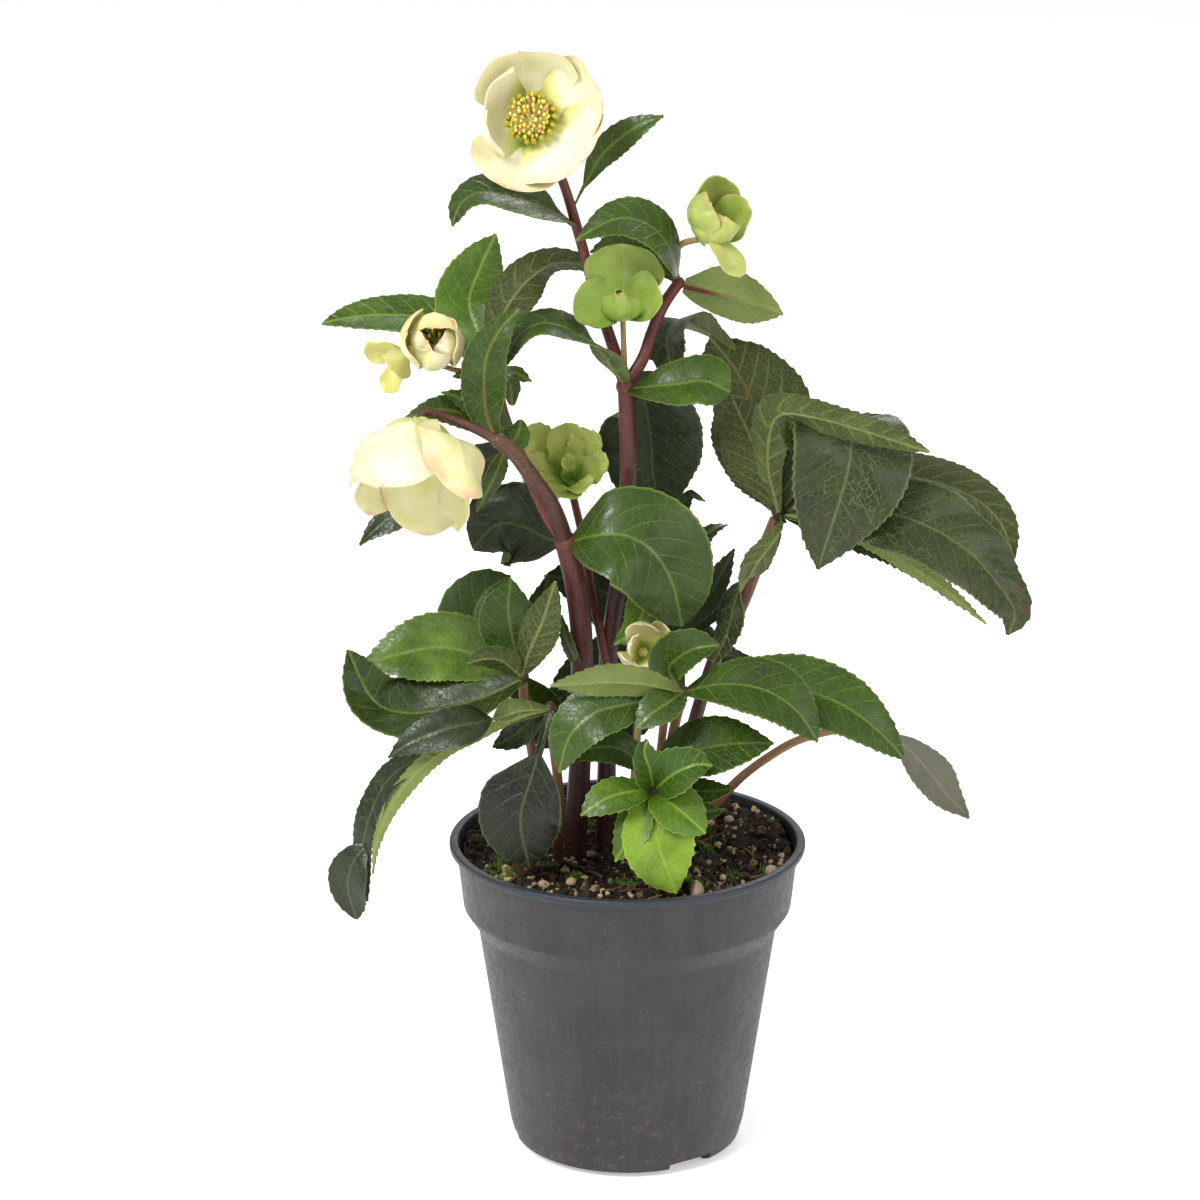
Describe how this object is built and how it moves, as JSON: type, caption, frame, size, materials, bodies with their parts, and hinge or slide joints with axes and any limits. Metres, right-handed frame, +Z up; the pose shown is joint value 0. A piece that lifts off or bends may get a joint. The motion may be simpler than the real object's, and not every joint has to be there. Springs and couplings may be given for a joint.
{
  "type": "hellebore plant",
  "caption": "Hellebore in a round nursery pot: soil, forked maroon stems, toothed leathery leaves, leafy bracts and cream cupped blooms with yellow stamens.",
  "frame": {"origin": "centre of the pot's underside, where it rests", "axes": "+Z up through the pot, -Y towards the front of the plant as pictured, +X to its right"},
  "size_m": [0.2519, 0.13, 0.4049],
  "materials": {
    "pot_plastic": "satin, dark grey, dusty",
    "soil": "rough, crumbly",
    "stem_red": "smooth, maroon, tan speckles",
    "stem_brown": "smooth, red brown to green",
    "leaf_dark": "leathery, dark green, glossy, net veined",
    "leaf_green": "leathery, green, satin, net veined",
    "leaf_young": "fresh green, satin",
    "petal_cream": "soft, cream, faint pink outside",
    "petal_green": "soft, green to cream",
    "stamen_yellow": "matt, yellow green"
  },
  "bodies": {
    "root": {"bloom_bud": "petal_green", "bloom_cluster": "petal_green", "bloom_cup": "petal_cream", "bloom_cup_centre": "stamen_yellow", "bloom_green": "petal_green", "bloom_left": "petal_cream", "bloom_low": "petal_cream", "bloom_pale": "petal_green", "bloom_top": "petal_cream", "bloom_top_centre": "stamen_yellow", "bract_arched": "leaf_green", "bract_back": "leaf_dark", "bract_behind": "leaf_green", "bract_behind_bloom": "leaf_dark", "bract_bright": "leaf_young", "bract_crinkled": "leaf_dark", "bract_front": "leaf_green", "bract_left": "leaf_young", "bract_light": "leaf_green", "bract_low": "leaf_young", "bract_middle_left": "leaf_green", "bract_middle_right": "leaf_green", "bract_top_left": "leaf_green", "bract_top_right": "leaf_green", "bract_underside": "leaf_green", "bract_upright": "leaf_green", "leaf_back": "leaf_dark", "leaf_grey": "leaf_dark", "leaf_left": "leaf_green", "leaf_low_front": "leaf_green", "leaf_low_left": "leaf_dark", "leaf_low_right": "leaf_green", "leaf_right": "leaf_dark", "pot": "pot_plastic", "shoot_front": "leaf_young", "soil": "soil", "stalk_back": "stem_brown", "stalk_bud": "stem_brown", "stalk_front": "stem_brown", "stalk_left": "stem_brown", "stalk_low_front": "stem_brown", "stalk_low_left": "stem_brown", "stalk_low_right": "stem_brown", "stalk_right": "stem_brown", "stalk_shoot": "stem_brown", "stem_left": "stem_red", "stem_middle": "stem_red"}
  },
  "joints": []
}
